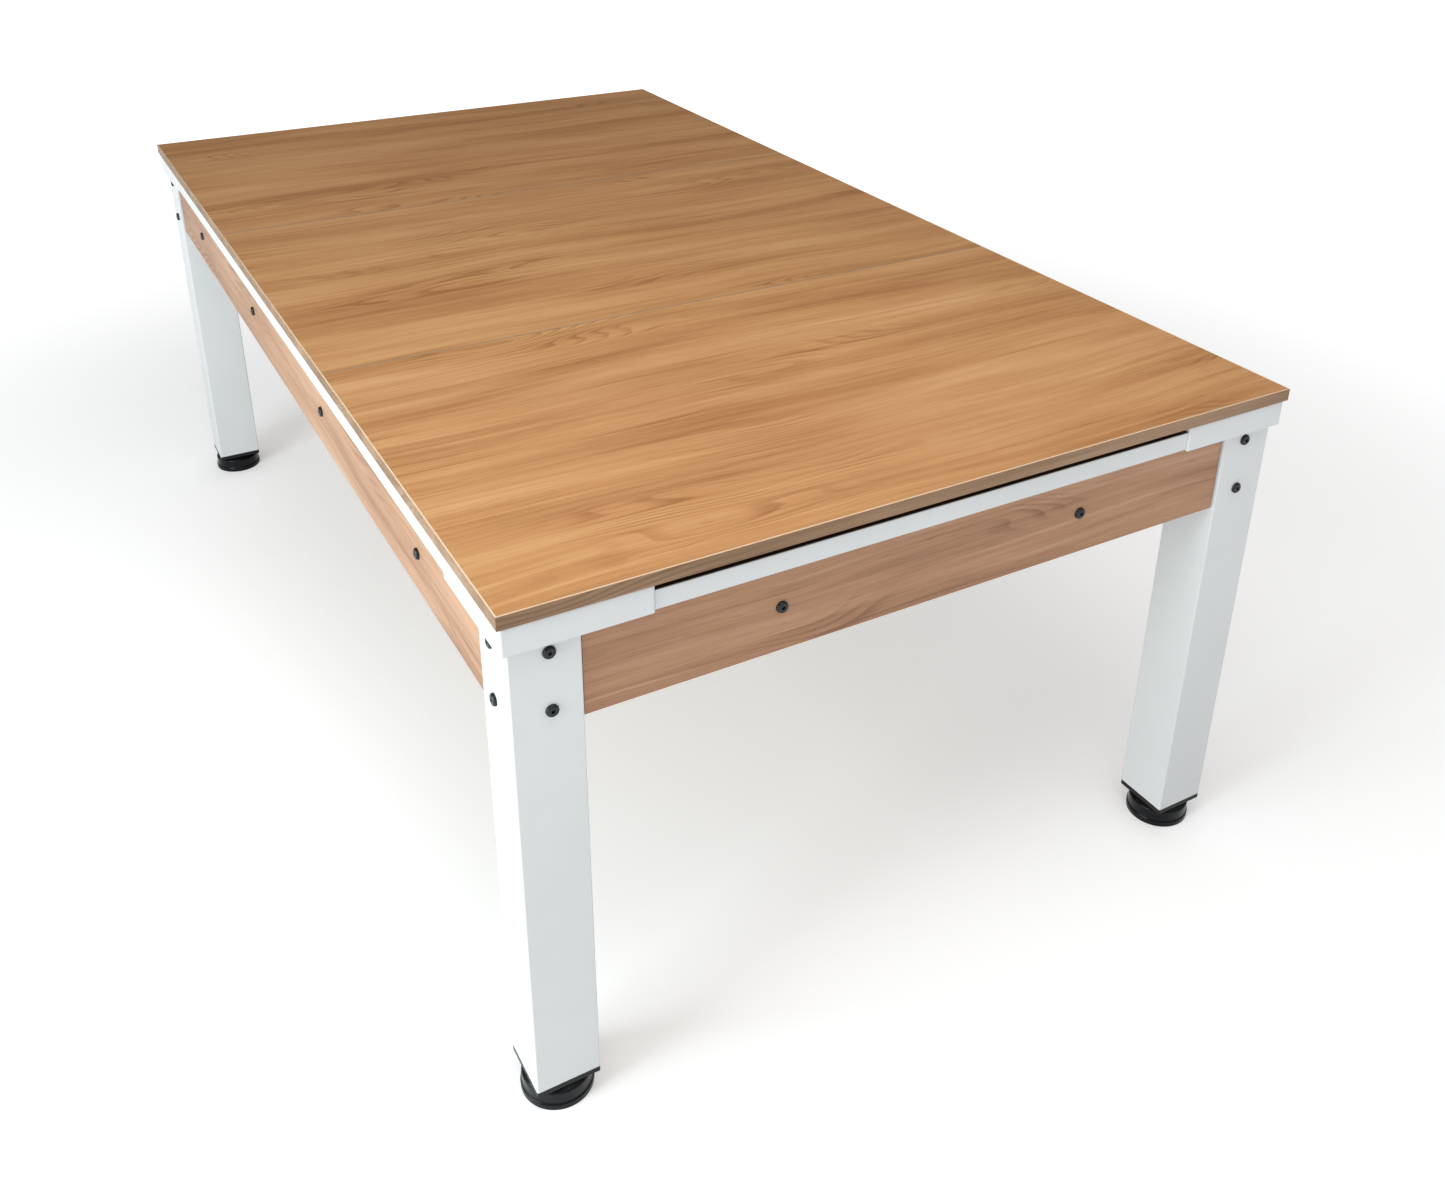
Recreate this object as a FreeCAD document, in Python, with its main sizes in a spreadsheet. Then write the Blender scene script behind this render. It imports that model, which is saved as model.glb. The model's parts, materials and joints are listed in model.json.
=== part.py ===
import FreeCAD, Part
import math
import os
import Sketcher
from FreeCAD import Placement, Rotation, Vector

# A seven-foot pool table that closes into a dining table, in millimetres.
# The origin is on the floor under the middle of the table. X runs along the long sides,
# Y along the short ends and Z up. "Front" is -Y and "right" is +X.
#
# Most pieces are drawn in one of two local frames and then placed:
# - an edge frame has its origin on the floor under the middle of one edge of the dining top,
#   with local X along that edge and local Y pointing in towards the middle of the table;
# - a corner frame has its origin on the floor under one corner of the dining top,
#   with local X and Y both pointing in along the two edges that meet there.

SIZES = [
    # dining top
    ("top_length", 2140),
    ("top_width", 1220),
    ("top_height", 800),
    ("panel_thickness", 18.5),
    ("panel_gap", 0.4),
    ("edge_band_thickness", 2),
    ("edge_band_round", 1.2),
    ("pad_radius", 14),
    ("pad_offset", 50),
    # corner castings
    ("casting_inset", 3.5),
    ("casting_arm", 188),
    ("casting_top", 780.5),
    ("casting_bottom", 742.5),
    ("casting_wall", 4),
    ("casting_web", 20),
    ("casting_corner_round", 4),
    ("casting_edge_round", 3),
    ("casting_boss_radius", 12),
    # rails and cushions
    ("rail_inset", 6),
    ("rail_depth", 100),
    ("rail_top", 772),
    ("rail_lip_bottom", 745),
    ("rail_edge_round", 2),
    ("rail_end_gap", 0.4),
    ("cushion_depth", 50),
    ("cushion_nose_height", 36),
    ("cushion_nose_round", 3),
    ("cushion_back_gap", 2),
    ("corner_mouth_cut", 40),
    ("side_mouth_back", 54),
    ("side_mouth_nose", 66),
    # pockets
    ("corner_pocket_offset", 138),
    ("side_pocket_offset", 115),
    ("rail_pocket_radius", 55),
    ("bed_pocket_radius", 46.8),
    ("basket_radius", 46.5),
    ("basket_bottom_radius", 44),
    ("basket_wall", 2.5),
    ("basket_bottom", 595),
    ("basket_slot_width", 9),
    ("basket_slot_bottom", 615),
    ("basket_slot_top", 695),
    ("basket_slots", 10),
    ("liner_wall", 2.5),
    ("liner_gap", 0.3),
    ("liner_flange_width", 8),
    ("liner_flange_thickness", 2),
    # playing bed and its cloth
    ("cloth_top", 730),
    ("cloth_thickness", 1),
    ("bed_thickness", 18),
    ("bed_inset", 37),
    ("bed_leg_gap", 1),
    # bed frame
    ("beam_height", 50),
    ("beam_width", 30),
    ("tube_wall", 2.5),
    ("cross_height", 30),
    ("cross_width", 40),
    ("bolt_pitch", 480),
    # legs and posts
    ("leg_inset", 13),
    ("leg_width", 90),
    ("leg_round", 2.5),
    ("leg_bottom", 45.5),
    ("leg_top", 742),
    ("post_width", 84),
    ("post_wall", 4),
    ("post_bottom", 621),
    ("notch_gap", 0.5),
    # aprons
    ("apron_recess", 5),
    ("apron_thickness", 18),
    ("apron_bottom", 621),
    ("apron_top", 742),
    ("apron_end_gap", 2),
    # button-head bolts and screws
    ("bolt_head_radius", 8.2),
    ("bolt_head_height", 4.5),
    ("bolt_head_round", 3),
    ("bolt_radius", 4),
    ("bolt_hole_radius", 4.3),
    ("bolt_socket_radius", 3),
    ("bolt_socket_depth", 3),
    ("leg_bolt_length", 16),
    ("apron_bolt_length", 30),
    ("leg_bolt_offset", 63),
    ("leg_bolt_low", 646.5),
    ("leg_bolt_high", 726.5),
    ("apron_bolt_height", 685),
    ("screw_radius", 2.5),
    ("screw_hole_radius", 3),
    ("screw_head_radius", 5.5),
    ("screw_head_height", 3),
    ("screw_length", 34),
    ("screw_offset", 83),
    ("casting_screw_far", 178),
    ("casting_screw_near", 90),
    # levelling feet
    ("plug_plate", 8.5),
    ("plug_depth", 22),
    ("plug_gap", 0.3),
    ("foot_radius", 50),
    ("foot_top_radius", 48),
    ("foot_crown_radius", 40),
    ("foot_rim_height", 9),
    ("foot_shoulder_height", 28.5),
    ("foot_height", 33.5),
    ("foot_rim_round", 2),
    ("foot_sole_round", 1),
    ("foot_crown_round", 4),
    ("stud_radius", 6),
    ("stud_gap", 0.05),
    ("stud_bottom", 14),
    ("stud_top", 83),
]

doc = FreeCAD.newDocument("pool_table")
sheet = doc.addObject("Spreadsheet::Sheet", "sizes")
for row, (alias, cell_value) in enumerate(SIZES, start=1):
    sheet.set(f"A{row}", alias)
    sheet.set(f"B{row}", str(cell_value))
    sheet.setAlias(f"B{row}", alias)
doc.recompute()

# Sizes that follow from the sheet, as expressions.
HALF_LENGTH = "(sizes.top_length / 2)"
HALF_WIDTH = "(sizes.top_width / 2)"
PANEL_BOTTOM = "(sizes.top_height - sizes.panel_thickness)"
PANEL_PITCH = "(sizes.top_length / 3)"
CASTING_END = "(sizes.casting_inset + sizes.casting_arm)"
BED_TOP = "(sizes.cloth_top - sizes.cloth_thickness)"
BED_BOTTOM = "(sizes.cloth_top - sizes.cloth_thickness - sizes.bed_thickness)"
LEG_CENTRE = "(sizes.leg_inset + sizes.leg_width / 2)"
LEG_INNER = "(sizes.leg_inset + sizes.leg_width)"
POST_INNER = f"({LEG_CENTRE} + sizes.post_width / 2)"
APRON_OUTER = "(sizes.leg_inset + sizes.apron_recess)"
BEAM_OUTER = "(sizes.leg_inset + sizes.apron_recess + sizes.apron_thickness)"
BEAM_INNER = f"({BEAM_OUTER} + sizes.beam_width)"
NOSE_DEPTH = "(sizes.rail_depth + sizes.cushion_depth)"

# Each side: its turn about Z in degrees, its edge's middle and half its run.
SIDES = {
    "front": (0, "0", f"-{HALF_WIDTH}", HALF_LENGTH),
    "right": (90, HALF_LENGTH, "0", HALF_WIDTH),
    "back": (180, "0", HALF_WIDTH, HALF_LENGTH),
    "left": (270, f"-{HALF_LENGTH}", "0", HALF_WIDTH),
}
LONG_SIDES = ("front", "back")

# Each corner: its turn about Z in degrees and its place.
CORNERS = {
    "front_left": (0, f"-{HALF_LENGTH}", f"-{HALF_WIDTH}"),
    "front_right": (90, HALF_LENGTH, f"-{HALF_WIDTH}"),
    "back_right": (180, HALF_LENGTH, HALF_WIDTH),
    "back_left": (270, f"-{HALF_LENGTH}", HALF_WIDTH),
}

subparts = []


def number(expression):
    """Value of an expression that reads the sheet."""
    return float(sheet.evalExpression(expression))


# ---------------------------------------------------------------- drawing helpers

def new_body(label):
    """An empty PartDesign body."""
    body = doc.addObject("PartDesign::Body", label)
    body.Label = label
    return body


def origin_feature(body, role):
    """A plane or axis of the body's own origin."""
    return next(item for item in body.Origin.OriginFeatures if item.Role == role)


def sketch_on(body, name, role="XY_Plane", offset="0"):
    """A sketch on an origin plane, moved along the plane's normal by offset."""
    sketch = body.newObject("Sketcher::SketchObject", name)
    sketch.AttachmentSupport = [(origin_feature(body, role), "")]
    sketch.MapMode = "FlatFace"
    sketch.setExpression("AttachmentOffset.Base.z", offset)
    return sketch


def pin_point(sketch, geometry, position, x, y):
    """Hold a sketch point at two coordinates given as expressions."""
    for kind, expression in (("DistanceX", x), ("DistanceY", y)):
        constraint = Sketcher.Constraint(kind, -1, 1, geometry, position, number(expression))
        index = sketch.addConstraint(constraint)
        sketch.setExpression(f"Constraints[{index}]", expression)


def draw_polygon(sketch, corners):
    """A closed polygon whose corners are pairs of expressions."""
    points = [Vector(number(x), number(y), 0) for x, y in corners]
    first = sketch.GeometryCount
    for start, end in zip(points, points[1:] + points[:1]):
        sketch.addGeometry(Part.LineSegment(start, end))
    for index, (x, y) in enumerate(corners):
        following = first + (index + 1) % len(corners)
        sketch.addConstraint(Sketcher.Constraint("Coincident", first + index, 2, following, 1))
        pin_point(sketch, first + index, 1, x, y)


def draw_rectangle(sketch, x_low, y_low, x_high, y_high):
    """A rectangle between two corners given as expressions."""
    draw_polygon(sketch, [(x_low, y_low), (x_high, y_low), (x_high, y_high), (x_low, y_high)])


def draw_circle(sketch, x, y, radius):
    """A circle whose centre and radius are expressions."""
    centre = Vector(number(x), number(y), 0)
    geometry = sketch.addGeometry(Part.Circle(centre, Vector(0, 0, 1), number(radius)))
    pin_point(sketch, geometry, 3, x, y)
    index = sketch.addConstraint(Sketcher.Constraint("Radius", geometry, number(radius)))
    sketch.setExpression(f"Constraints[{index}]", radius)


def pad(body, sketch, length, name="pad", backwards=False):
    """Extrude a sketch into material."""
    feature = body.newObject("PartDesign::Pad", name)
    feature.Profile = sketch
    feature.Reversed = backwards
    feature.setExpression("Length", length)
    doc.recompute()
    return feature


def cut(body, sketch, length, name="cut", backwards=False):
    """Extrude a sketch as a cut, and check that it removed something."""
    before = body.Shape.Volume
    feature = body.newObject("PartDesign::Pocket", name)
    feature.Profile = sketch
    feature.Reversed = backwards
    feature.setExpression("Length", length)
    doc.recompute()
    if not body.Shape.Volume < before - 1e-3:
        raise ValueError(f"{name} cuts nothing from {body.Label}")
    return feature


def revolve(body, sketch, name="turned"):
    """Turn a sketch about its vertical axis."""
    feature = body.newObject("PartDesign::Revolution", name)
    feature.Profile = sketch
    feature.ReferenceAxis = (sketch, ["V_Axis"])
    feature.Angle = 360
    doc.recompute()
    return feature


def round_edges(body, base, radius, wanted, name="round"):
    """Fillet the edges of a feature that pass a test."""
    names = [f"Edge{i}" for i, edge in enumerate(base.Shape.Edges, start=1) if wanted(edge)]
    if not names:
        raise ValueError(f"{name} finds no edge on {body.Label}")
    feature = body.newObject("PartDesign::Fillet", name)
    feature.Base = (base, names)
    feature.setExpression("Radius", radius)
    doc.recompute()
    return feature


def near(first, second):
    """Whether two lengths agree."""
    return abs(first - second) < 1e-3


def is_upright(edge):
    """Whether an edge is a straight line along Z."""
    box = edge.BoundBox
    return near(box.XLength, 0) and near(box.YLength, 0) and box.ZLength > 1


def is_level_at(edge, height):
    """Whether an edge lies at one height."""
    return near(edge.BoundBox.ZMin, height) and near(edge.BoundBox.ZMax, height)


def finish(item, turn=0, x="0", y="0"):
    """Place a sub-part and keep it for export."""
    item.Placement = Placement(Vector(), Rotation(Vector(0, 0, 1), turn))
    item.setExpression("Placement.Base.x", x)
    item.setExpression("Placement.Base.y", y)
    subparts.append(item)


def finish_on_side(item, side):
    """Place a sub-part drawn in an edge frame."""
    turn, x, y, _ = SIDES[side]
    finish(item, turn, x, y)


def finish_in_corner(item, corner):
    """Place a sub-part drawn in a corner frame."""
    turn, x, y = CORNERS[corner]
    finish(item, turn, x, y)


def side_placement(side):
    """Placement of an edge frame."""
    turn, x, y, _ = SIDES[side]
    return Placement(Vector(number(x), number(y), 0), Rotation(Vector(0, 0, 1), turn))


def corner_placement(corner):
    """Placement of a corner frame."""
    turn, x, y = CORNERS[corner]
    return Placement(Vector(number(x), number(y), 0), Rotation(Vector(0, 0, 1), turn))


def finish_group(label, master, placements):
    """One sub-part made of separate copies of a master shape."""
    copies = []
    for placement in placements:
        solid = master.Shape.copy()
        solid.Placement = placement.multiply(solid.Placement)
        copies.append(solid)
    group = doc.addObject("Part::Feature", label)
    group.Label = label
    group.Shape = Part.makeCompound(copies)
    group.Placement = Placement()
    subparts.append(group)


# ---------------------------------------------------------------- dining top

PANELS = {"left": -1, "middle": 0, "right": 1}


def make_dining_panel(name, place):
    """Laminated board of one third of the dining top, without its edge bands."""
    label = f"dining_panel_{name}"
    body = new_body(label)
    sketch = sketch_on(body, "outline", offset=PANEL_BOTTOM)
    half_x = f"({PANEL_PITCH} / 2 - sizes.panel_gap / 2 - sizes.edge_band_thickness)"
    half_y = f"({HALF_WIDTH} - sizes.edge_band_thickness)"
    draw_rectangle(sketch, f"-{half_x}", f"-{half_y}", half_x, half_y)
    pad(body, sketch, "sizes.panel_thickness", "board")
    finish(body, x=f"{place} * {PANEL_PITCH}")


def make_edge_band(name, place):
    """Edge band glued round one dining panel, with its top edge rounded over."""
    label = f"edge_band_{name}"
    body = new_body(label)
    sketch = sketch_on(body, "outline", offset=PANEL_BOTTOM)
    outer_x = f"({PANEL_PITCH} / 2 - sizes.panel_gap / 2)"
    inner_x = f"({PANEL_PITCH} / 2 - sizes.panel_gap / 2 - sizes.edge_band_thickness)"
    inner_y = f"({HALF_WIDTH} - sizes.edge_band_thickness)"
    draw_rectangle(sketch, f"-{outer_x}", f"-{HALF_WIDTH}", outer_x, HALF_WIDTH)
    draw_rectangle(sketch, f"-{inner_x}", f"-{inner_y}", inner_x, inner_y)
    band = pad(body, sketch, "sizes.panel_thickness", "band")
    top = number("sizes.top_height")
    reach_x = number(outer_x)
    reach_y = number(HALF_WIDTH)

    def on_top_rim(edge):
        middle = edge.CenterOfMass
        outside = near(abs(middle.x), reach_x) or near(abs(middle.y), reach_y)
        return is_level_at(edge, top) and outside

    round_edges(body, band, "sizes.edge_band_round", on_top_rim, "rim_round")
    finish(body, x=f"{place} * {PANEL_PITCH}")


def make_panel_pads(name, place):
    """Rubber pads under one dining panel: tall ones stand on the rails, thin ones on the castings."""
    side_y = number(f"{HALF_WIDTH} - sizes.pad_offset")
    end_x = number(f"{HALF_LENGTH} - sizes.pad_offset")
    pitch = number(PANEL_PITCH)
    rail_top = number("sizes.rail_top")
    casting_top = number("sizes.casting_top")
    inner_shift = place * pitch / 10
    spots = [(place * pitch - inner_shift + step * pitch / 4, sign * side_y, rail_top)
             for step in (-1, 1) for sign in (-1, 1)]
    if place:
        spots += [(place * end_x, sign * side_y, casting_top) for sign in (-1, 1)]
        spots.append((place * end_x, 0, rail_top))
    radius = number("sizes.pad_radius")
    panel_bottom = number(PANEL_BOTTOM)
    pads = [Part.makeCylinder(radius, panel_bottom - bottom, Vector(x, y, bottom)) for x, y, bottom in spots]
    group = doc.addObject("Part::Feature", f"panel_pads_{name}")
    group.Label = f"panel_pads_{name}"
    group.Shape = Part.makeCompound(pads)
    group.Placement = Placement()
    subparts.append(group)


# ---------------------------------------------------------------- castings, rails and cushions

def draw_corner_l(sketch, near_edge, far_edge, depth):
    """An L whose two arms meet at the outer corner of a corner frame."""
    draw_polygon(sketch, [
        (near_edge, near_edge), (far_edge, near_edge), (far_edge, depth),
        (depth, depth), (depth, far_edge), (near_edge, far_edge),
    ])


def make_corner_casting(corner):
    """Hollow L-shaped cap over one corner, cut round its pocket."""
    body = new_body(f"corner_casting_{corner}")
    sketch = sketch_on(body, "cap_outline", offset="sizes.casting_bottom")
    draw_corner_l(sketch, "sizes.casting_inset", CASTING_END, "sizes.rail_depth")
    pad(body, sketch, "sizes.casting_top - sizes.casting_bottom", "cap")

    block_near = f"({LEG_INNER} + sizes.apron_end_gap)"
    block_outer = f"({BEAM_OUTER} + sizes.apron_end_gap)"
    sketch = sketch_on(body, "bearing_outline", offset="sizes.cloth_top")
    draw_rectangle(sketch, block_near, block_outer, CASTING_END, "sizes.rail_depth")
    draw_rectangle(sketch, block_outer, block_near, "sizes.rail_depth", CASTING_END)
    pad(body, sketch, "sizes.casting_bottom - sizes.cloth_top", "bearings")

    hollow_near = "(sizes.casting_inset + sizes.casting_wall)"
    hollow_far = f"({CASTING_END} - sizes.casting_wall)"
    hollow_depth = "(sizes.rail_depth - sizes.casting_web)"
    sketch = sketch_on(body, "hollow_outline", offset="sizes.cloth_top")
    draw_corner_l(sketch, hollow_near, hollow_far, hollow_depth)
    cut(body, sketch, "sizes.casting_top - sizes.casting_wall - sizes.cloth_top", "hollow", backwards=True)

    sketch = sketch_on(body, "boss_outline", offset="sizes.leg_top")
    draw_circle(sketch, LEG_CENTRE, LEG_CENTRE, "sizes.casting_boss_radius")
    pad(body, sketch, "sizes.casting_top - sizes.casting_wall / 2 - sizes.leg_top", "boss")

    sketch = sketch_on(body, "pocket_outline", offset="sizes.cloth_top")
    draw_circle(sketch, "sizes.corner_pocket_offset", "sizes.corner_pocket_offset",
                "sizes.rail_pocket_radius")
    cut(body, sketch, "sizes.casting_top - sizes.cloth_top", "pocket", backwards=True)

    sketch = sketch_on(body, "screw_holes", offset="sizes.cloth_top")
    draw_circle(sketch, "sizes.casting_screw_far", "sizes.casting_screw_near", "sizes.screw_hole_radius")
    draw_circle(sketch, "sizes.casting_screw_near", "sizes.casting_screw_far", "sizes.screw_hole_radius")
    drilled = cut(body, sketch, "sizes.screw_length - sizes.bed_thickness", "drilled", backwards=True)

    inset = number("sizes.casting_inset")
    end = number(CASTING_END)
    top = number("sizes.casting_top")

    def at_outer_corner(edge):
        middle = edge.CenterOfMass
        return is_upright(edge) and near(middle.x, inset) and near(middle.y, inset)

    rounded = round_edges(body, drilled, "sizes.casting_corner_round", at_outer_corner, "corner_round")

    def on_rim_or_end(edge):
        box = edge.BoundBox
        along_side = near(box.XMin, inset) or near(box.YMin, inset)
        across_end = near(box.XMin, end) or near(box.YMin, end)
        if is_upright(edge):
            return along_side and across_end
        return is_level_at(edge, top) and (along_side or across_end)

    round_edges(body, rounded, "sizes.casting_edge_round", on_rim_or_end, "rim_round")
    finish_in_corner(body, corner)


def side_screw_places(side):
    """Where the screws that hold one rail stand along its edge."""
    if side in LONG_SIDES:
        return (-800, -450, -150, 150, 450, 800)
    return (-300, 0, 300)


def make_rail(side):
    """Rail between two castings: a lip over the apron and a thick part on the bed."""
    half_run = SIDES[side][3]
    half_rail = f"({half_run} - {CASTING_END} - sizes.rail_end_gap)"
    lip_end = f"({BEAM_OUTER} + sizes.apron_end_gap)"
    body = new_body(f"rail_{side}")
    sketch = sketch_on(body, "section", "YZ_Plane", f"-{half_rail}")
    draw_polygon(sketch, [
        ("sizes.rail_inset", "sizes.rail_lip_bottom"), (lip_end, "sizes.rail_lip_bottom"),
        (lip_end, "sizes.cloth_top"), ("sizes.rail_depth", "sizes.cloth_top"),
        ("sizes.rail_depth", "sizes.rail_top"), ("sizes.rail_inset", "sizes.rail_top"),
    ])
    bar = pad(body, sketch, f"2 * {half_rail}", "bar")
    inset = number("sizes.rail_inset")
    top = number("sizes.rail_top")

    def on_outer_top(edge):
        return is_level_at(edge, top) and near(edge.BoundBox.YMax, inset)

    round_edges(body, bar, "sizes.rail_edge_round", on_outer_top, "edge_round")
    if side in LONG_SIDES:
        sketch = sketch_on(body, "pocket_outline", offset="sizes.cloth_top")
        draw_circle(sketch, "0", "sizes.side_pocket_offset", "sizes.rail_pocket_radius")
        cut(body, sketch, "sizes.rail_top - sizes.cloth_top", "pocket", backwards=True)
    sketch = sketch_on(body, "screw_holes", offset="sizes.cloth_top")
    for place in side_screw_places(side):
        draw_circle(sketch, str(place), "sizes.screw_offset", "sizes.screw_hole_radius")
    cut(body, sketch, "sizes.screw_length - sizes.bed_thickness", "drilled", backwards=True)
    finish_on_side(body, side)


def make_cushion(label, side, back_start, nose_start, back_end, nose_end):
    """Rubber cushion on one rail, cut back at the pockets, given along its edge in local X."""
    body = new_body(label)
    nose_height = "(sizes.cloth_top + sizes.cushion_nose_height)"
    sketch = sketch_on(body, "section", "YZ_Plane", back_start)
    back_bottom = "(sizes.cloth_top + sizes.cushion_back_gap)"
    draw_polygon(sketch, [
        ("sizes.rail_depth", back_bottom), (NOSE_DEPTH, f"({nose_height} - sizes.cushion_nose_round)"),
        (NOSE_DEPTH, f"({nose_height} + sizes.cushion_nose_round)"), ("sizes.rail_depth", "sizes.rail_top"),
    ])
    bar = pad(body, sketch, f"{back_end} - {back_start}", "bar")
    nose = number(NOSE_DEPTH)

    def on_nose(edge):
        box = edge.BoundBox
        return near(box.YMin, nose) and box.XLength > 1

    round_edges(body, bar, "sizes.cushion_nose_round - 0.2", on_nose, "nose_round")
    sketch = sketch_on(body, "end_cuts", offset="sizes.cloth_top")
    beyond = f"({NOSE_DEPTH} + 1)"
    draw_polygon(sketch, [
        (back_start, "sizes.rail_depth"), (nose_start, NOSE_DEPTH),
        (nose_start, beyond), (f"({back_start} - 1)", beyond), (f"({back_start} - 1)", "sizes.rail_depth"),
    ])
    draw_polygon(sketch, [
        (back_end, "sizes.rail_depth"), (f"({back_end} + 1)", "sizes.rail_depth"),
        (f"({back_end} + 1)", beyond), (nose_end, beyond), (nose_end, NOSE_DEPTH),
    ])
    cut(body, sketch, "sizes.rail_top - sizes.cloth_top", "facings", backwards=True)
    finish_on_side(body, side)


def make_cushions():
    """One cushion on each end rail and two on each side rail."""
    for side, (_, _, _, half_run) in SIDES.items():
        back = f"({half_run} - {CASTING_END})"
        nose = f"({half_run} - {CASTING_END} - sizes.corner_mouth_cut)"
        if side in LONG_SIDES:
            make_cushion(f"cushion_{side}_low_x" if side == "front" else f"cushion_{side}_high_x", side,
                         f"(-{back})", f"(-{nose})", "(-sizes.side_mouth_back)", "(-sizes.side_mouth_nose)")
            make_cushion(f"cushion_{side}_high_x" if side == "front" else f"cushion_{side}_low_x", side,
                         "sizes.side_mouth_back", "sizes.side_mouth_nose", back, nose)
        else:
            make_cushion(f"cushion_{side}", side, f"(-{back})", f"(-{nose})", back, nose)


def make_side_pocket_liner(side):
    """Curved collar in the side rail's pocket cut, with a flange on the rail."""
    body = new_body(f"side_pocket_liner_{side}")
    outer = "(sizes.rail_pocket_radius - sizes.liner_gap)"
    inner = "(sizes.rail_pocket_radius - sizes.liner_gap - sizes.liner_wall)"
    sketch = sketch_on(body, "wall_outline", offset="sizes.cloth_top")
    draw_circle(sketch, "0", "sizes.side_pocket_offset", outer)
    draw_circle(sketch, "0", "sizes.side_pocket_offset", inner)
    pad(body, sketch, "sizes.rail_top - sizes.cloth_top", "wall")
    sketch = sketch_on(body, "flange_outline", offset="sizes.rail_top")
    draw_circle(sketch, "0", "sizes.side_pocket_offset", f"({outer} + sizes.liner_flange_width)")
    draw_circle(sketch, "0", "sizes.side_pocket_offset", inner)
    pad(body, sketch, "sizes.liner_flange_thickness", "flange")
    sketch = sketch_on(body, "mouth_outline", offset="sizes.cloth_top")
    draw_rectangle(sketch, "-sizes.rail_depth", "(sizes.rail_depth - sizes.liner_gap)",
                   "sizes.rail_depth", "2 * sizes.rail_depth")
    cut(body, sketch, "sizes.rail_top + sizes.liner_flange_thickness - sizes.cloth_top", "mouth",
        backwards=True)
    finish_on_side(body, side)


# ---------------------------------------------------------------- bed, cloth and baskets

def pocket_places():
    """Name and centre of each pocket in the table's frame, as expressions."""
    corner_x = f"({HALF_LENGTH} - sizes.corner_pocket_offset)"
    corner_y = f"({HALF_WIDTH} - sizes.corner_pocket_offset)"
    side_y = f"({HALF_WIDTH} - sizes.side_pocket_offset)"
    return {
        "front_left": (f"(-{corner_x})", f"(-{corner_y})"),
        "front_middle": ("0", f"(-{side_y})"),
        "front_right": (corner_x, f"(-{corner_y})"),
        "back_left": (f"(-{corner_x})", corner_y),
        "back_middle": ("0", side_y),
        "back_right": (corner_x, corner_y),
    }


def screw_points():
    """Every rail and casting screw's place in the table's frame, as vectors at floor height."""
    points = []
    for side in SIDES:
        frame = side_placement(side)
        offset = number("sizes.screw_offset")
        points += [frame.multVec(Vector(place, offset, 0)) for place in side_screw_places(side)]
    far = number("sizes.casting_screw_far")
    close = number("sizes.casting_screw_near")
    for corner in CORNERS:
        frame = corner_placement(corner)
        points += [frame.multVec(Vector(far, close, 0)), frame.multVec(Vector(close, far, 0))]
    return points


def make_bed_layer(label, bottom, thickness, inset):
    """Flat layer with a notch for each leg and a hole for each pocket and screw."""
    body = new_body(label)
    reach_x = f"({HALF_LENGTH} - {inset})"
    reach_y = f"({HALF_WIDTH} - {inset})"
    notch_x = f"({HALF_LENGTH} - {LEG_INNER} - sizes.bed_leg_gap)"
    notch_y = f"({HALF_WIDTH} - {LEG_INNER} - sizes.bed_leg_gap)"
    quarter = [(reach_x, notch_y), (notch_x, notch_y), (notch_x, reach_y)]
    corners = list(quarter)
    corners += [(f"(-{x})", y) for x, y in reversed(quarter)]
    corners += [(f"(-{x})", f"(-{y})") for x, y in quarter]
    corners += [(x, f"(-{y})") for x, y in reversed(quarter)]
    sketch = sketch_on(body, "outline", offset=bottom)
    draw_polygon(sketch, corners)
    pad(body, sketch, thickness, "layer")
    sketch = sketch_on(body, "pocket_holes", offset=bottom)
    for x, y in pocket_places().values():
        draw_circle(sketch, x, y, "sizes.bed_pocket_radius")
    cut(body, sketch, thickness, "pockets", backwards=True)
    sketch = sketch_on(body, "screw_holes", offset=bottom)
    for point in screw_points():
        draw_circle(sketch, str(round(point.x, 3)), str(round(point.y, 3)), "sizes.screw_hole_radius")
    cut(body, sketch, thickness, "drilled", backwards=True)
    finish(body)


def make_pocket_basket(name, x, y):
    """Moulded ball basket: a slightly tapered cup with upright slots."""
    body = new_body(f"pocket_basket_{name}")
    wall = "sizes.basket_wall"
    sketch = sketch_on(body, "section", "XZ_Plane")
    draw_polygon(sketch, [
        ("0", "sizes.basket_bottom"), ("sizes.basket_bottom_radius", "sizes.basket_bottom"),
        ("sizes.basket_radius", BED_BOTTOM), ("sizes.basket_radius", BED_TOP),
        (f"(sizes.basket_radius - {wall})", BED_TOP), (f"(sizes.basket_radius - {wall})", BED_BOTTOM),
        (f"(sizes.basket_bottom_radius - {wall})", f"(sizes.basket_bottom + {wall})"),
        ("0", f"(sizes.basket_bottom + {wall})"),
    ])
    revolve(body, sketch, "cup")
    sketch = sketch_on(body, "slot_outline", "XZ_Plane")
    half_slot = "(sizes.basket_slot_width / 2)"
    draw_rectangle(sketch, f"(-{half_slot})", "sizes.basket_slot_bottom", half_slot, "sizes.basket_slot_top")
    slot = cut(body, sketch, "sizes.basket_radius + 1", "slot")
    pattern = body.newObject("PartDesign::PolarPattern", "slots")
    pattern.Originals = [slot]
    pattern.Axis = (origin_feature(body, "Z_Axis"), [""])
    pattern.Angle = 360
    pattern.Occurrences = int(number("sizes.basket_slots"))
    body.Tip = pattern
    doc.recompute()
    finish(body, x=x, y=y)


# ---------------------------------------------------------------- bed frame

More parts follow.
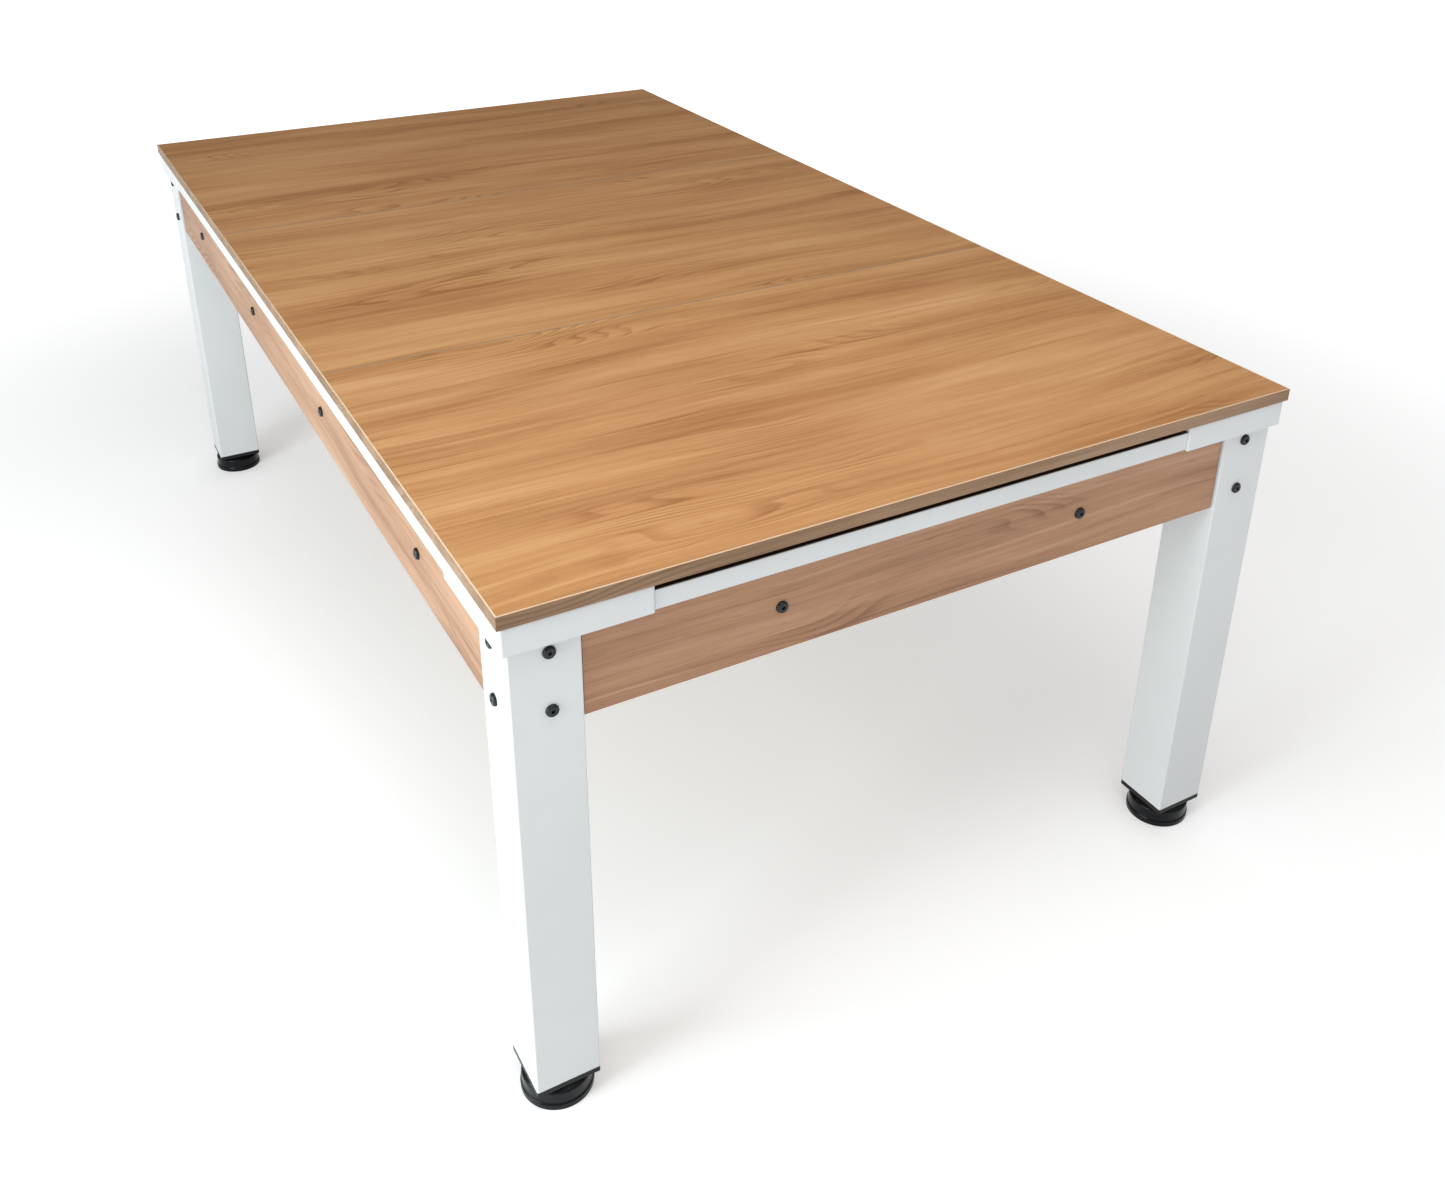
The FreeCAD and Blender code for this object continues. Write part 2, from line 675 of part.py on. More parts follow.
def make_beam(side):
    """Rectangular tube under one edge of the bed, welded between two corner posts."""
    half_run = SIDES[side][3]
    half_beam = f"({half_run} - {POST_INNER})"
    beam_bottom = f"({BED_BOTTOM} - sizes.beam_height)"
    body = new_body(f"beam_{side}")
    sketch = sketch_on(body, "section", "YZ_Plane", f"-{half_beam}")
    draw_rectangle(sketch, BEAM_OUTER, beam_bottom, BEAM_INNER, BED_BOTTOM)
    draw_rectangle(sketch, f"({BEAM_OUTER} + sizes.tube_wall)", f"({beam_bottom} + sizes.tube_wall)",
                   f"({BEAM_INNER} - sizes.tube_wall)", f"({BED_BOTTOM} - sizes.tube_wall)")
    pad(body, sketch, f"2 * {half_beam}", "tube")
    sketch = sketch_on(body, "bolt_holes", "XZ_Plane")
    for place in apron_bolt_places(side):
        draw_circle(sketch, place, "sizes.apron_bolt_height", "sizes.bolt_hole_radius")
    cut(body, sketch, f"{BEAM_OUTER} + 2 * sizes.tube_wall", "drilled")
    finish_on_side(body, side)


def make_cross_member():
    """Tube across the frame, under the bed, centred on the origin."""
    body = new_body("cross_member_pattern")
    half_span = f"({HALF_WIDTH} - {BEAM_INNER})"
    bottom = f"({BED_BOTTOM} - sizes.cross_height)"
    sketch = sketch_on(body, "section", "XZ_Plane", f"-{half_span}")
    half = "(sizes.cross_width / 2)"
    draw_rectangle(sketch, f"(-{half})", bottom, half, BED_BOTTOM)
    draw_rectangle(sketch, f"(sizes.tube_wall - {half})", f"({bottom} + sizes.tube_wall)",
                   f"({half} - sizes.tube_wall)", f"({BED_BOTTOM} - sizes.tube_wall)")
    pad(body, sketch, f"2 * {half_span}", "tube")
    return body


def make_cross_members():
    """Four cross members, in line with the bolts of the long aprons."""
    pitch = number("sizes.bolt_pitch")
    places = [Placement(Vector(step * pitch, 0, 0), Rotation()) for step in (-1.5, -0.5, 0.5, 1.5)]
    finish_group("cross_members", make_cross_member(), places)


def make_corner_post():
    """Square post with a top plate, which a leg slips over, in a corner frame."""
    body = new_body("corner_post_pattern")
    low = f"({LEG_CENTRE} - sizes.post_width / 2)"
    sketch = sketch_on(body, "outline", offset="sizes.post_bottom")
    draw_rectangle(sketch, low, low, POST_INNER, POST_INNER)
    pad(body, sketch, "sizes.leg_top - sizes.post_bottom", "post")
    sketch = sketch_on(body, "hollow_outline", offset="sizes.post_bottom")
    draw_rectangle(sketch, f"({low} + sizes.post_wall)", f"({low} + sizes.post_wall)",
                   f"({POST_INNER} - sizes.post_wall)", f"({POST_INNER} - sizes.post_wall)")
    cut(body, sketch, "sizes.leg_top - sizes.post_bottom - sizes.post_wall", "hollow", backwards=True)
    drill_leg_bolt_holes(body)
    return body


def drill_leg_bolt_holes(body):
    """Two bolt holes in each of the two outer walls of a leg or post, in a corner frame."""
    depth = f"({LEG_CENTRE} - sizes.post_width / 2 + 2 * sizes.post_wall)"
    for name, role, backwards in (("drilled_y", "XZ_Plane", False), ("drilled_x", "YZ_Plane", True)):
        sketch = sketch_on(body, f"{name}_outline", role)
        for height in ("sizes.leg_bolt_low", "sizes.leg_bolt_high"):
            draw_circle(sketch, "sizes.leg_bolt_offset", height, "sizes.bolt_hole_radius")
        cut(body, sketch, depth, name, backwards=backwards)


# ---------------------------------------------------------------- legs and aprons

def make_leg(corner):
    """Square tube with rounded edges and two slots for the beams, open at both ends."""
    body = new_body(f"leg_{corner}")
    wall_low = "(sizes.leg_inset + sizes.tube_wall)"
    wall_high = f"({LEG_INNER} - sizes.tube_wall)"
    sketch = sketch_on(body, "section", offset="sizes.leg_bottom")
    draw_rectangle(sketch, "sizes.leg_inset", "sizes.leg_inset", LEG_INNER, LEG_INNER)
    draw_rectangle(sketch, wall_low, wall_low, wall_high, wall_high)
    tube = pad(body, sketch, "sizes.leg_top - sizes.leg_bottom", "tube")
    corner_reach = number("sizes.leg_width") / math.sqrt(2) - 1
    centre = Vector(number(LEG_CENTRE), number(LEG_CENTRE), 0)

    def is_outer_edge(edge):
        middle = edge.CenterOfMass
        return is_upright(edge) and (Vector(middle.x, middle.y, 0) - centre).Length > corner_reach

    round_edges(body, tube, "sizes.leg_round", is_outer_edge, "edge_round")
    slot_low = f"({BEAM_OUTER} - sizes.notch_gap)"
    slot_high = f"({BEAM_INNER} + sizes.notch_gap)"
    slot_bottom = f"({BED_BOTTOM} - sizes.beam_height - sizes.notch_gap)"
    sketch = sketch_on(body, "slot_outline", offset=slot_bottom)
    draw_rectangle(sketch, f"({wall_high} - 1)", slot_low, f"({LEG_INNER} + 1)", slot_high)
    draw_rectangle(sketch, slot_low, f"({wall_high} - 1)", slot_high, f"({LEG_INNER} + 1)")
    cut(body, sketch, f"sizes.leg_top - {slot_bottom}", "slots", backwards=True)
    drill_leg_bolt_holes(body)
    finish_in_corner(body, corner)


def apron_bolt_places(side):
    """Where the bolts stand along one apron, as expressions."""
    steps = (-1.5, -0.5, 0.5, 1.5) if side in LONG_SIDES else (-0.5, 0.5)
    return [f"({step} * sizes.bolt_pitch)" for step in steps]


def make_apron(side):
    """Laminated board between two legs, bolted to the beam behind it."""
    half_run = SIDES[side][3]
    half_apron = f"({half_run} - {LEG_INNER} - sizes.apron_end_gap)"
    body = new_body(f"apron_{side}")
    sketch = sketch_on(body, "outline", offset="sizes.apron_bottom")
    draw_rectangle(sketch, f"(-{half_apron})", APRON_OUTER, half_apron, BEAM_OUTER)
    pad(body, sketch, "sizes.apron_top - sizes.apron_bottom", "board")
    sketch = sketch_on(body, "bolt_holes", "XZ_Plane")
    for place in apron_bolt_places(side):
        draw_circle(sketch, place, "sizes.apron_bolt_height", "sizes.bolt_hole_radius")
    cut(body, sketch, BEAM_OUTER, "drilled")
    finish_on_side(body, side)


# ---------------------------------------------------------------- fasteners

def make_bolt(label, length):
    """Button-head bolt along Z, with its head's seat at the origin and its shank below."""
    body = new_body(label)
    sketch = sketch_on(body, "section", "XZ_Plane")
    draw_polygon(sketch, [
        ("0", f"(-{length})"), ("sizes.bolt_radius", f"(-{length})"), ("sizes.bolt_radius", "0"),
        ("sizes.bolt_head_radius", "0"), ("sizes.bolt_head_radius", "sizes.bolt_head_height"),
        ("0", "sizes.bolt_head_height"),
    ])
    turned = revolve(body, sketch)
    head_top = number("sizes.bolt_head_height")
    head_radius = number("sizes.bolt_head_radius")

    def on_head_rim(edge):
        return is_level_at(edge, head_top) and near(edge.BoundBox.XMax, head_radius)

    round_edges(body, turned, "sizes.bolt_head_round", on_head_rim, "head_round")
    sketch = sketch_on(body, "socket_outline", offset="sizes.bolt_head_height")
    sixths = [math.radians(60 * step) for step in range(6)]
    draw_polygon(sketch, [(f"(sizes.bolt_socket_radius * {math.cos(angle):.6f})",
                           f"(sizes.bolt_socket_radius * {math.sin(angle):.6f})") for angle in sixths])
    cut(body, sketch, "sizes.bolt_socket_depth", "socket")
    return body


def make_screw():
    """Pan-head screw pointing up along Z, with its head's seat at the origin."""
    body = new_body("rail_screw_pattern")
    sketch = sketch_on(body, "section", "XZ_Plane")
    draw_polygon(sketch, [
        ("0", "(-sizes.screw_head_height)"), ("sizes.screw_head_radius", "(-sizes.screw_head_height)"),
        ("sizes.screw_head_radius", "0"), ("sizes.screw_radius", "0"),
        ("sizes.screw_radius", "sizes.screw_length - 1"), ("0", "sizes.screw_length - 1"),
    ])
    revolve(body, sketch)
    return body


def make_fasteners():
    """Leg bolts, apron bolts and rail screws, each kind as one group."""
    toward_front = Rotation(Vector(0, 0, 1), Vector(0, -1, 0))
    toward_side = Rotation(Vector(0, 0, 1), Vector(-1, 0, 0))
    face = number("sizes.leg_inset")
    offset = number("sizes.leg_bolt_offset")
    places = []
    for corner in CORNERS:
        frame = corner_placement(corner)
        for height in (number("sizes.leg_bolt_low"), number("sizes.leg_bolt_high")):
            places.append(frame.multiply(Placement(Vector(offset, face, height), toward_front)))
            places.append(frame.multiply(Placement(Vector(face, offset, height), toward_side)))
    finish_group("leg_bolts", make_bolt("leg_bolt_pattern", "sizes.leg_bolt_length"), places)

    face = number(APRON_OUTER)
    height = number("sizes.apron_bolt_height")
    places = []
    for side in SIDES:
        frame = side_placement(side)
        places += [frame.multiply(Placement(Vector(number(place), face, height), toward_front))
                   for place in apron_bolt_places(side)]
    finish_group("apron_bolts", make_bolt("apron_bolt_pattern", "sizes.apron_bolt_length"), places)

    height = number(BED_BOTTOM)
    places = [Placement(Vector(point.x, point.y, height), Rotation()) for point in screw_points()]
    finish_group("rail_screws", make_screw(), places)


# ---------------------------------------------------------------- levelling feet

def make_end_plug():
    """Plug in the lower end of a leg: a plate as wide as the leg, and a threaded block above it."""
    body = new_body("leg_end_plug_pattern")
    block = "(sizes.tube_wall + sizes.plug_gap)"
    sketch = sketch_on(body, "plate_outline", offset="sizes.leg_bottom - sizes.plug_plate")
    draw_rectangle(sketch, "sizes.leg_inset", "sizes.leg_inset", LEG_INNER, LEG_INNER)
    plate = pad(body, sketch, "sizes.plug_plate", "plate")
    round_edges(body, plate, "sizes.leg_round", is_upright, "edge_round")
    sketch = sketch_on(body, "block_outline", offset="sizes.leg_bottom")
    draw_rectangle(sketch, f"(sizes.leg_inset + {block})", f"(sizes.leg_inset + {block})",
                   f"({LEG_INNER} - {block})", f"({LEG_INNER} - {block})")
    pad(body, sketch, "sizes.plug_depth", "block")
    sketch = sketch_on(body, "bore_outline", offset="sizes.leg_bottom - sizes.plug_plate")
    draw_circle(sketch, LEG_CENTRE, LEG_CENTRE, "sizes.stud_radius + sizes.stud_gap")
    cut(body, sketch, "sizes.plug_plate + sizes.plug_depth", "bore", backwards=True)
    return body


def leg_centre(corner):
    """Middle of one leg, in the table's frame, as expressions."""
    x_sign = "-" if corner.endswith("left") else ""
    y_sign = "-" if corner.startswith("front") else ""
    return f"{x_sign}({HALF_LENGTH} - {LEG_CENTRE})", f"{y_sign}({HALF_WIDTH} - {LEG_CENTRE})"


def make_levelling_foot(corner):
    """Round foot with a rolled rim, a sloping side and a socket for its stud."""
    body = new_body(f"levelling_foot_{corner}")
    bore = "(sizes.stud_radius + sizes.stud_gap)"
    sketch = sketch_on(body, "section", "XZ_Plane")
    draw_polygon(sketch, [
        ("0", "0"), ("sizes.foot_radius", "0"), ("sizes.foot_radius", "sizes.foot_rim_height"),
        ("sizes.foot_radius - sizes.foot_rim_round", "sizes.foot_rim_height + 1"),
        ("sizes.foot_top_radius", "sizes.foot_shoulder_height"),
        ("sizes.foot_crown_radius", "sizes.foot_height"),
        (bore, "sizes.foot_height"), (bore, "sizes.stud_bottom"), ("0", "sizes.stud_bottom"),
    ])
    turned = revolve(body, sketch)
    rim_radius = number("sizes.foot_radius")
    rim_height = number("sizes.foot_rim_height")
    shoulder_radius = number("sizes.foot_top_radius")

    def on_rim(edge):
        return near(edge.BoundBox.XMax, rim_radius) and is_level_at(edge, rim_height)

    def on_sole(edge):
        return near(edge.BoundBox.XMax, rim_radius) and is_level_at(edge, 0)

    def on_shoulder(edge):
        box = edge.BoundBox
        return near(box.XMax, shoulder_radius) and near(box.ZLength, 0)

    rimmed = round_edges(body, turned, "sizes.foot_rim_round", on_rim, "rim_round")
    soled = round_edges(body, rimmed, "sizes.foot_sole_round", on_sole, "sole_round")
    round_edges(body, soled, "sizes.foot_crown_round", on_shoulder, "crown_round")
    finish(body, 0, *leg_centre(corner))


def make_foot_stud(corner):
    """Threaded stud fixed in a foot and screwed into the leg's end plug."""
    stud = doc.addObject("Part::Cylinder", f"foot_stud_{corner}")
    stud.Label = f"foot_stud_{corner}"
    stud.setExpression("Radius", "sizes.stud_radius")
    stud.setExpression("Height", "sizes.stud_top - sizes.stud_bottom")
    finish(stud, 0, *leg_centre(corner))
    stud.setExpression("Placement.Base.z", "sizes.stud_bottom")


# ---------------------------------------------------------------- assembly and export

def build():
    """Make every sub-part."""
    for name, place in PANELS.items():
        make_dining_panel(name, place)
        make_edge_band(name, place)
        make_panel_pads(name, place)
    for corner in CORNERS:
        make_corner_casting(corner)
        make_leg(corner)
        make_levelling_foot(corner)
        make_foot_stud(corner)
    for side in SIDES:
        make_rail(side)
        make_apron(side)
        make_beam(side)
    make_cushions()
    for side in LONG_SIDES:
        make_side_pocket_liner(side)
    make_bed_layer("playing_bed", BED_BOTTOM, "sizes.bed_thickness", "sizes.bed_inset")
    make_bed_layer("bed_cloth", BED_TOP, "sizes.cloth_thickness", "sizes.bed_inset")
    for name, (x, y) in pocket_places().items():
        make_pocket_basket(name, x, y)
    make_cross_members()
    corners = [corner_placement(corner) for corner in CORNERS]
    finish_group("corner_posts", make_corner_post(), corners)
    finish_group("leg_end_plugs", make_end_plug(), corners)
    make_fasteners()


def check():
    """Stop if any object failed or any sub-part is empty or invalid."""
    for item in doc.Objects:
        if "Invalid" in item.State or "Error" in item.State:
            raise ValueError(f"{item.Label} is {item.State}")
    for item in subparts:
        if item.Shape.isNull() or not item.Shape.isValid() or not item.Shape.Solids:
            raise ValueError(f"{item.Label} has no valid solid")


def export():
    """Write one STEP file for each sub-part."""
    os.makedirs("parts", exist_ok=True)
    for item in subparts:
        item.Shape.exportStep(f"parts/{item.Label}.step")


build()
doc.recompute()
check()
export()
print(f"{len(subparts)} sub-parts written")
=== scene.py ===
"""Looks of a pool table that closes into a dining table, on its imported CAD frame."""
import json
import math
import bpy
from mathutils import Euler, Matrix, Vector


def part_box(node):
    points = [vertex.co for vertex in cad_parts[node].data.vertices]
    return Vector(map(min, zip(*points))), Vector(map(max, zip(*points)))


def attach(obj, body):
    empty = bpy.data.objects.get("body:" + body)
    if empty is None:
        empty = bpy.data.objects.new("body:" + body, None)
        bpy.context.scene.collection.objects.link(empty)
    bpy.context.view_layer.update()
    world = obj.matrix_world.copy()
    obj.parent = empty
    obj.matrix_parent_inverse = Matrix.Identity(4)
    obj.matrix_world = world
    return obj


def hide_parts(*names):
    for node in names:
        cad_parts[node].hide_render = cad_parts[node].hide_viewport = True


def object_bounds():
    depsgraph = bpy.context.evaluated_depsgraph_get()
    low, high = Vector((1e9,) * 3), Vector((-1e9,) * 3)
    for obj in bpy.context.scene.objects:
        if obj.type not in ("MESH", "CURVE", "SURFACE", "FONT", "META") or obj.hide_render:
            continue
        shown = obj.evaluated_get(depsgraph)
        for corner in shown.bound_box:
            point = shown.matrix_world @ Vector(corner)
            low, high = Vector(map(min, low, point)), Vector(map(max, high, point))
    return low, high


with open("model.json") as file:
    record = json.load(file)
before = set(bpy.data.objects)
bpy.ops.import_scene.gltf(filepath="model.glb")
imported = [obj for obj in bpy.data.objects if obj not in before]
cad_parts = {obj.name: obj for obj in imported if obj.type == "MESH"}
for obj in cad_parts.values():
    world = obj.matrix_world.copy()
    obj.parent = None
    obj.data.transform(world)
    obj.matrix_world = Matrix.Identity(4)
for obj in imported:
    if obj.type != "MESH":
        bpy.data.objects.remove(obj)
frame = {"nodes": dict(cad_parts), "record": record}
CAD_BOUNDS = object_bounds()
NODES = frame["nodes"]
SLOT_OF = {part["node"]: part["material_slot"] for part in frame["record"]["subparts"]}
MM = 0.001
AXES = ("X", "Y", "Z")


def srgb(red, green, blue):
    """Linear colour, with alpha, of an 8-bit display colour."""
    def linear(value):
        share = value / 255
        return share / 12.92 if share <= 0.04045 else ((share + 0.055) / 1.055) ** 2.4
    return (linear(red), linear(green), linear(blue), 1.0)


def between(first, last, share):
    """The value that lies a share of the way from first to last."""
    return first + (last - first) * share


# ---------------------------------------------------------------- colours

# dark, middle and light tones of each board
WOOD_TONES = (srgb(160, 108, 66), srgb(191, 140, 92), srgb(210, 162, 114))
APRON_TONES = (srgb(136, 98, 74), srgb(172, 131, 102), srgb(196, 158, 130))
BAND_TONES = (srgb(112, 86, 64), srgb(140, 111, 85), srgb(164, 134, 108))
BOARD_TONES = (srgb(120, 90, 62), srgb(156, 122, 88), srgb(182, 150, 114))
# painted highlight: the pale colour along the edge bands' rounded top edges
BAND_RIM_HIGHLIGHT = srgb(222, 192, 160)

WHITE_PAINT = srgb(214, 217, 218)
# painted shade: the near-black tops of the white rails, in the shadow under the boards
RAIL_TOP_PAINTED_SHADE = srgb(26, 24, 24)
BLACK_PAINT = srgb(34, 34, 36)
PAINT_DUST = srgb(120, 116, 108)
RUBBED_PAINT = srgb(150, 148, 142)

BLACK_PLASTIC = srgb(24, 24, 26)
GLOSS_BLACK = srgb(7, 10, 14)
# painted highlight on the edges of black plastic
PLASTIC_EDGE_HIGHLIGHT = srgb(92, 96, 102)
PLASTIC_DUST = srgb(150, 146, 138)

BLACK_OXIDE = srgb(52, 55, 58)
BARE_STEEL = srgb(150, 152, 154)
ZINC = srgb(196, 197, 200)
ZINC_STAIN = srgb(150, 146, 132)

RUBBER = srgb(30, 30, 31)
RUBBER_BLOOM = srgb(72, 71, 69)
CLOTH_GREEN = srgb(18, 104, 62)
FLOOR_WHITE = srgb(240, 240, 240)
PLAIN_WHITE = (1.0, 1.0, 1.0, 1.0)


# ---------------------------------------------------------------- shader building

class Shader:
    """One material and the nodes added to it."""

    def __init__(self, name, roughness, metallic=0.0, specular=0.5):
        self.material = bpy.data.materials.new(name)
        self.material.use_nodes = True
        self.nodes = self.material.node_tree.nodes
        self.links = self.material.node_tree.links
        self.surface = self.nodes["Principled BSDF"]
        self.surface.inputs["Roughness"].default_value = roughness
        self.surface.inputs["Metallic"].default_value = metallic
        self.surface.inputs["Specular IOR Level"].default_value = specular
        self.place = self.add("ShaderNodeTexCoord").outputs["Object"]

    def add(self, kind, values=None, **settings):
        """A new node with its settings, and values or links for its inputs."""
        made = self.nodes.new(kind)
        for setting, value in settings.items():
            setattr(made, setting, value)
        for key, value in (values or {}).items():
            self.join(value, made.inputs[key])
        return made

    def join(self, value, socket):
        """Links the socket to another one, or gives it a plain value."""
        if isinstance(value, bpy.types.NodeSocket):
            self.links.new(value, socket)
        else:
            socket.default_value = value

    def set(self, name, value):
        """Links or sets one input of the surface."""
        self.join(value, self.surface.inputs[name])

    def math(self, operation, first, second=0.0):
        """One sum on one or two values."""
        return self.add("ShaderNodeMath", {0: first, 1: second}, operation=operation).outputs[0]

    def split(self, vector):
        """The three parts of a vector, by axis letter."""
        parts = self.add("ShaderNodeSeparateXYZ", {0: vector})
        return {axis: parts.outputs[axis] for axis in AXES}

    def vector(self, x, y, z):
        """A vector from its three parts."""
        return self.add("ShaderNodeCombineXYZ", {"X": x, "Y": y, "Z": z}).outputs[0]

    def noise(self, vector, scale, detail=2.0, roughness=0.5):
        """Cloudy values, mostly between 0.3 and 0.7."""
        made = self.add("ShaderNodeTexNoise", {
            "Vector": vector, "Scale": scale, "Detail": detail, "Roughness": roughness,
        })
        return made.outputs["Fac"]

    def remap(self, value, low, high, to_low=0.0, to_high=1.0, smooth=False):
        """value moved from low..high to to_low..to_high, and held within them."""
        made = self.add("ShaderNodeMapRange", {
            "Value": value, "From Min": low, "From Max": high, "To Min": to_low, "To Max": to_high,
        }, interpolation_type="SMOOTHSTEP" if smooth else "LINEAR")
        return made.outputs[0]

    def spread(self, noise, to_low, to_high):
        """A noise's usual values moved to to_low..to_high."""
        return self.remap(noise, low=0.3, high=0.7, to_low=to_low, to_high=to_high)

    def ramp(self, value, stops):
        """A colour for each value, from (place, colour) stops."""
        made = self.add("ShaderNodeValToRGB", {0: value})
        elements = made.color_ramp.elements
        while len(elements) < len(stops):
            elements.new(0.5)
        for element, (place, colour) in zip(elements, stops):
            element.position = place
            element.color = colour
        return made.outputs[0]

    def mix(self, share, first, second, blend="MIX"):
        """The first colour with a share of the second."""
        made = self.add("ShaderNodeMix", data_type="RGBA", blend_type=blend)
        self.join(share, made.inputs["Factor"])
        self.join(first, made.inputs[6])
        self.join(second, made.inputs[7])
        return made.outputs[2]

    def shade(self, colour, amount):
        """The colour times an amount."""
        return self.mix(1.0, colour, self.vector(amount, amount, amount), "MULTIPLY")

    def bump(self, height, distance, strength=1.0):
        """Adds a bump, in metres, on top of any that is already there."""
        socket = self.surface.inputs["Normal"]
        values = {"Height": height, "Distance": distance, "Strength": strength}
        if socket.is_linked:
            values["Normal"] = socket.links[0].from_socket
        made = self.add("ShaderNodeBump", values)
        self.links.new(made.outputs[0], socket)

    def soft_edges(self, radius):
        """Rounds the look of sharp edges, and gives a mask that is 1 on them."""
        bevel = self.add("ShaderNodeBevel", {"Radius": radius}, samples=4)
        self.links.new(bevel.outputs[0], self.surface.inputs["Normal"])
        geometry = self.add("ShaderNodeNewGeometry")
        match = self.add("ShaderNodeVectorMath", {0: bevel.outputs[0], 1: geometry.outputs["Normal"]},
                         operation="DOT_PRODUCT").outputs["Value"]
        return self.remap(match, low=0.99, high=0.8)

    def beyond(self, axis, reach):
        """1 where a point is further than reach from the middle along an axis."""
        distance = self.math("ABSOLUTE", self.split(self.place)[axis])
        return self.math("GREATER_THAN", distance, reach)

    def upward(self):
        """1 where the surface faces up, 0 on its sides and underneath."""
        geometry = self.add("ShaderNodeNewGeometry")
        return self.remap(self.split(geometry.outputs["True Normal"])["Z"], low=0.3, high=0.9)


# ---------------------------------------------------------------- materials

# width of the painted highlight along the table's outline
HIGHLIGHT_RIM_WIDTH = 3 * MM
THREAD_PITCH = 1.75 * MM


def wood(name, across, along, depth, tones, shift=0.0, painted_highlight=None):
    """Printed wood grain: soft bands, growth lines with small hooks, thin lines, fibres and short pores.

    Where a highlight colour is given, faces that look up get the light tone, and that colour along the
    table's outline: a painted highlight on the band's rounded top edge.
    """
    roughness = 0.46
    lines_per_metre = 95.0
    lines_of_swell = 17.0
    shader = Shader(name, roughness, specular=0.18)
    part = shader.split(shader.place)
    side = shader.math("ADD", part[across], shift)
    length = part[along]
    level = part[depth]

    def centred(value, weight):
        return shader.math("MULTIPLY", shader.math("SUBTRACT", value, 0.5), weight)

    def grain(pull, scale, detail=2.0, roughness=0.5, offset=0.0):
        """Noise drawn out along the grain: the smaller the pull, the longer the marks."""
        moved = shader.math("ADD", bent, offset)
        drawn = shader.vector(moved, shader.math("MULTIPLY", length, pull), level)
        return shader.noise(drawn, scale, detail, roughness)

    slow = shader.noise(shader.vector(side, shader.math("MULTIPLY", length, 0.5), level),
                        scale=3.0, detail=1.0)
    bent = shader.math("ADD", side, centred(slow, 0.07))

    bands = grain(pull=0.09, scale=15.0, detail=3.0)
    streaks = grain(pull=0.028, scale=95.0, detail=4.0, roughness=0.62, offset=4.0)
    fibres = grain(pull=0.02, scale=700.0, roughness=0.6, offset=9.0)
    swell = grain(pull=0.20, scale=12.0, detail=1.0, roughness=0.4, offset=2.0)

    phase = shader.math("ADD", shader.math("MULTIPLY", bent, lines_per_metre),
                        shader.math("MULTIPLY", swell, lines_of_swell))
    saw = shader.math("FRACT", phase)
    rise = shader.remap(saw, low=0.35, high=0.92, smooth=True)
    fall = shader.remap(saw, low=1.0, high=0.93)
    shown = shader.remap(grain(pull=0.24, scale=7.5, offset=7.0), low=0.48, high=0.66, smooth=True)
    hooks = shader.math("MULTIPLY", shader.math("MULTIPLY", rise, fall), shown)
    dark_lines = shader.remap(grain(pull=0.012, scale=170.0, detail=1.0, offset=21.0), low=0.62, high=0.72)
    pale_lines = shader.remap(grain(pull=0.016, scale=80.0, offset=13.0), low=0.60, high=0.70, smooth=True)
    pores = shader.remap(grain(pull=0.07, scale=400.0, detail=1.0, offset=17.0), low=0.66, high=0.76)

    tone = shader.math("ADD", centred(bands, 1.15), 0.5)
    for value, weight in ((streaks, 0.6), (fibres, 0.35)):
        tone = shader.math("ADD", tone, centred(value, weight))
    for value, weight in ((hooks, -0.30), (dark_lines, -0.20), (pale_lines, 0.17), (pores, -0.16)):
        tone = shader.math("ADD", tone, shader.math("MULTIPLY", value, weight))
    dark, middle, light = tones
    colour = shader.ramp(tone, [(0.12, dark), (0.5, middle), (0.86, light)])
    # painted highlight: up-facing band faces are painted paler, palest along the outline
    if painted_highlight:
        outline = shader.math("MAXIMUM", shader.beyond("X", CAD_BOUNDS[1].x - HIGHLIGHT_RIM_WIDTH),
                              shader.beyond("Y", CAD_BOUNDS[1].y - HIGHLIGHT_RIM_WIDTH))
        colour = shader.mix(shader.upward(), colour, shader.mix(outline, light, painted_highlight))
    shader.set("Base Color", colour)
    shader.set("Roughness", shader.spread(fibres, roughness + 0.06, roughness - 0.05))
    shader.soft_edges(0.4 * MM)
    shader.bump(tone, 0.05 * MM, strength=0.5)
    shader.bump(fibres, 0.03 * MM, strength=0.5)
    return shader.material


def paint(name, colour, roughness, texture, top=None):
    """Powder coat or sprayed coat: a fine orange-peel skin, uneven gloss and slightly rubbed edges.

    Where top is given, faces that look up have that colour instead; on the rails this is painted shade, near
    black, where the boards above shadow their tops.
    """
    shader = Shader(name, roughness)
    cloud = shader.noise(shader.place, scale=5.0, detail=3.0)
    peel = shader.noise(shader.place, scale=900.0, roughness=0.6)
    speck = shader.noise(shader.place, scale=260.0, detail=1.0)
    edges = shader.soft_edges(0.5 * MM)
    toned = shader.shade(colour, shader.spread(cloud, 0.955, 1.0))
    dusty = shader.remap(speck, low=0.70, high=0.78, to_high=0.05)
    toned = shader.mix(dusty, toned, PAINT_DUST)
    toned = shader.mix(shader.math("MULTIPLY", edges, 0.10), toned, RUBBED_PAINT)
    # painted shade on faces that look up, when top is given
    if top:
        toned = shader.mix(shader.upward(), toned, top)
    shader.set("Base Color", toned)
    shader.set("Roughness", shader.spread(peel, roughness - 0.05, roughness + 0.07))
    shader.bump(peel, texture, strength=0.6)
    return shader.material


